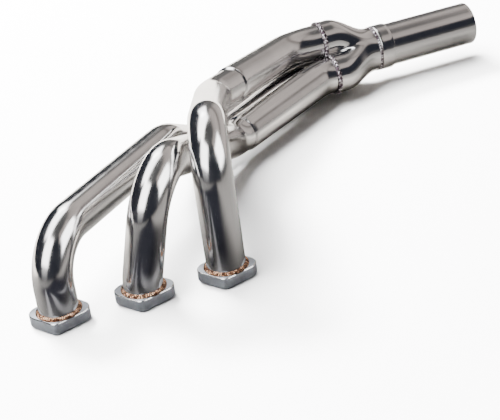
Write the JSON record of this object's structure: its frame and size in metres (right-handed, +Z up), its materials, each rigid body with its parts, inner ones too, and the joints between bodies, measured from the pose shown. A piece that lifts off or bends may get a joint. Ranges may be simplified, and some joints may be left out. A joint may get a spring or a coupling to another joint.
{
  "type": "exhaust manifold",
  "caption": "Welded tubular exhaust header: flanged primary tubes slip into wider runners and merge in a lobed collector with a straight outlet tube.",
  "frame": {"origin": "centre of the middle port at its flange's gasket face", "axes": "+X along the row of ports, toward the outlet's side; +Y from the ports toward the collector; +Z up, away from the gasket faces"},
  "size_m": [0.6978, 0.4792, 0.1779],
  "materials": {
    "polished_tube": "mirror-polished stainless steel",
    "flange_steel": "satin, bright bevelled edge",
    "bronze_weld": "heat-tinted bronze weld",
    "silver_weld": "rippled silver weld with a faint violet tint"
  },
  "bodies": {
    "root": {"left_flange": "flange_steel", "middle_flange": "flange_steel", "right_flange": "flange_steel", "left_flange_weld": "bronze_weld", "middle_flange_weld": "bronze_weld", "right_flange_weld": "bronze_weld", "left_primary_tube": "polished_tube", "middle_primary_tube": "polished_tube", "right_primary_tube": "polished_tube", "left_joint_weld": "polished_tube", "middle_joint_weld": "polished_tube", "right_joint_weld": "polished_tube", "left_runner_tube": "polished_tube", "middle_runner_tube": "polished_tube", "right_runner_tube": "polished_tube", "collector_weld": "silver_weld", "merge_spike": "silver_weld", "collector": "polished_tube", "neck_weld": "silver_weld", "outlet_collar": "polished_tube", "outlet_tube": "polished_tube"}
  },
  "joints": []
}
